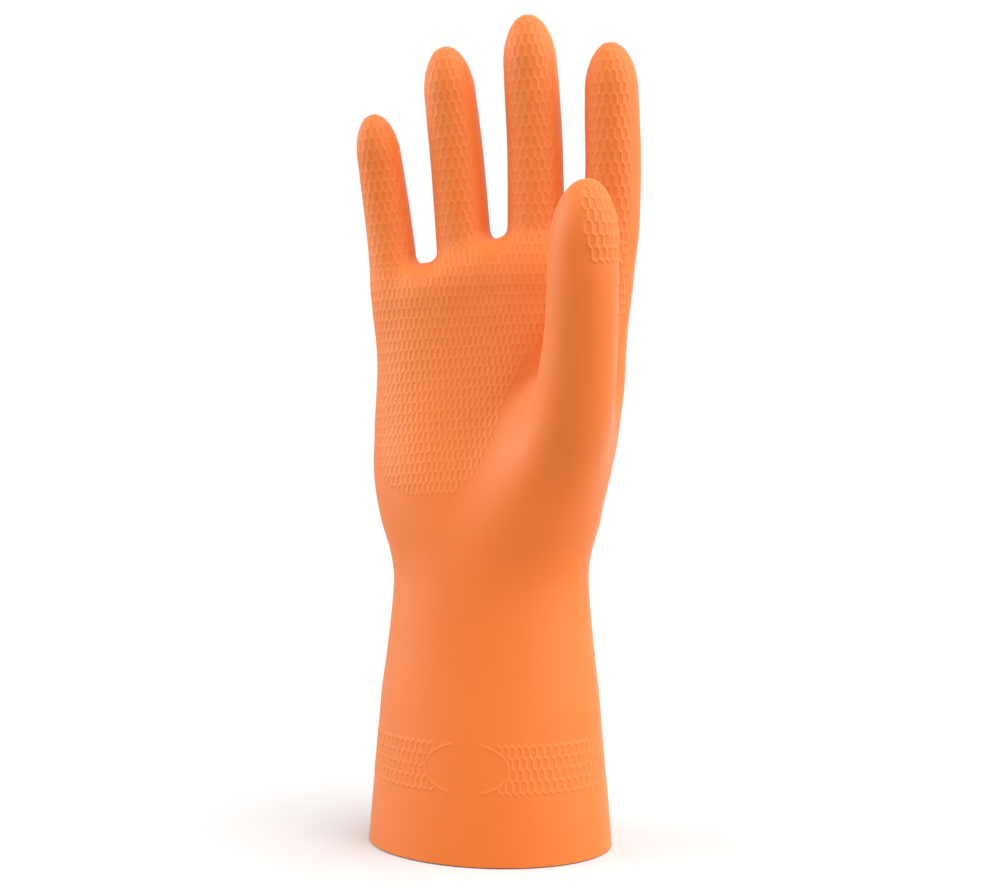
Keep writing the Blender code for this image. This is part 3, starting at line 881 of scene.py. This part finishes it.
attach(objs["cuff_skin"], "cuff")
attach(objs["palm_skin"], "palm")
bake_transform(objs["wrist_skin"])
for n, dg in DIG.items():
    parts = ("root", "tip") if n == "thumb" else ("root", "middle", "tip")
    for k, part in enumerate(parts):
        s = dg.at_height(HINGES[n][k])
        c, t = dg.point(s), dg.tangent(s)
        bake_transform(objs["%s_%s_skin" % (n, part)])
for name, nodes in PIECES.items():
    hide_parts(*nodes)

# --------------------------------------------------------------------- stage
scene = bpy.context.scene
floor_mesh = bpy.data.meshes.new("floor")
S = 6.0
floor_mesh.from_pydata([(-S, -S, 0), (S, -S, 0), (S, S, 0), (-S, S, 0)], [], [(0, 1, 2, 3)])
floor = bpy.data.objects.new("floor", floor_mesh)
floor.location = (0, 0, -0.0004)
scene.collection.objects.link(floor)
fm = bpy.data.materials.new("floor_white")
fm.use_nodes = True
ft = fm.node_tree
fb = ft.nodes["Principled BSDF"]
fb.inputs["Base Color"].default_value = (0.72, 0.72, 0.72, 1)
fb.inputs["Roughness"].default_value = 0.9
fb.inputs["Specular IOR Level"].default_value = 0.1
dull = ft.nodes.new("ShaderNodeBsdfDiffuse")
dull.inputs["Color"].default_value = (0.38, 0.365, 0.34, 1)
fp = ft.nodes.new("ShaderNodeLightPath")
fx = ft.nodes.new("ShaderNodeMixShader")
ft.links.new(fp.outputs["Is Camera Ray"], fx.inputs["Fac"])
ft.links.new(dull.outputs["BSDF"], fx.inputs[1])
ft.links.new(fb.outputs["BSDF"], fx.inputs[2])
ft.links.new(fx.outputs["Shader"], ft.nodes["Material Output"].inputs["Surface"])
floor_mesh.materials.append(fm)

world = bpy.data.worlds.new("studio")
scene.world = world
world.use_nodes = True
wt = world.node_tree
bg = wt.nodes["Background"]
bg.inputs["Color"].default_value = (1.0, 1.0, 1.0, 1)
bg.inputs["Strength"].default_value = 0.56
seen = wt.nodes.new("ShaderNodeBackground")
seen.inputs["Color"].default_value = (1.0, 1.0, 1.0, 1)
seen.inputs["Strength"].default_value = 1.0
path = wt.nodes.new("ShaderNodeLightPath")
both = wt.nodes.new("ShaderNodeMixShader")
wt.links.new(path.outputs["Is Camera Ray"], both.inputs["Fac"])
glossy = wt.nodes.new("ShaderNodeBackground")
glossy.inputs["Color"].default_value = (1, 1, 1, 1)
glossy.inputs["Strength"].default_value = 0.15
dim = wt.nodes.new("ShaderNodeMixShader")
wt.links.new(path.outputs["Is Glossy Ray"], dim.inputs["Fac"])
wt.links.new(bg.outputs["Background"], dim.inputs[1])
wt.links.new(glossy.outputs["Background"], dim.inputs[2])
wt.links.new(dim.outputs["Shader"], both.inputs[1])
wt.links.new(seen.outputs["Background"], both.inputs[2])
wt.links.new(both.outputs["Shader"], wt.nodes["World Output"].inputs["Surface"])


def sun(name, azimuth, elevation, strength, spread, colour=(1, 1, 1)):
    """A wide soft source far away, so that it falls evenly on the whole floor."""
    light = bpy.data.lights.new(name, "SUN")
    light.energy = strength
    light.angle = math.radians(spread)
    light.color = colour
    o = bpy.data.objects.new(name, light)
    a, e = math.radians(azimuth), math.radians(elevation)
    d = Vector((math.sin(a) * math.cos(e), -math.cos(a) * math.cos(e), math.sin(e)))
    o.location = d * 2.0
    o.rotation_euler = (-d).to_track_quat("-Z", "Y").to_euler()
    scene.collection.objects.link(o)
    return o


sun("soft_left", -76.0, 15.0, 2.5, 60.0)
sun("soft_right", 84.0, 17.0, 1.95, 60.0)
sun("soft_front", 48.0, 14.0, 0.62, 60.0)
sun("soft_top", 60.0, 66.0, 1.5, 50.0)
sun("soft_back", 142.0, 28.0, 0.9, 60.0).visible_glossy = False

BETA = math.radians(15.0)
DIST = 0.514
cam_data = bpy.data.cameras.new("camera")
cam_data.lens = 50.0
cam_data.sensor_width = 36.0
cam_data.clip_start = 0.01
cam_data.shift_x = 0.0105
cam = bpy.data.objects.new("camera", cam_data)
cam.location = (SX * 0.001 + DIST * math.sin(BETA), SY * 0.001 - DIST * math.cos(BETA), 0.146)
cam.rotation_euler = (math.pi / 2, 0, BETA)
scene.collection.objects.link(cam)
scene.camera = cam
scene.view_settings.view_transform = "Standard"
